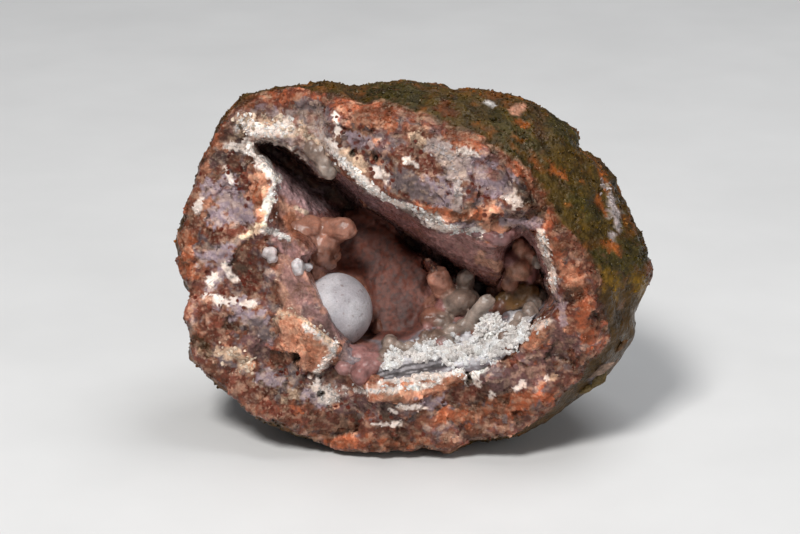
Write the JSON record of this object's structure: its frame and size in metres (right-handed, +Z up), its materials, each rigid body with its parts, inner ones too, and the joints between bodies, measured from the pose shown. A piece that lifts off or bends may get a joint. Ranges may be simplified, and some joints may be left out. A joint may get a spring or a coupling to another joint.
{
  "type": "chalcedony geode",
  "caption": "Broken chalcedony nodule with brown-green skin and a pink hollow holding a frosted ball and knobbly druse.",
  "frame": {"origin": "middle of the box around the stone, on the surface it rests on", "axes": "+X to the right as the broken face is looked at, +Y away from the viewer, +Z up"},
  "size_m": [0.06, 0.0356, 0.0443],
  "materials": {
    "rock": "rough",
    "crust": "satin"
  },
  "bodies": {
    "root": {"geode_rock": "rock", "chalcedony_crust": "crust"}
  },
  "joints": []
}
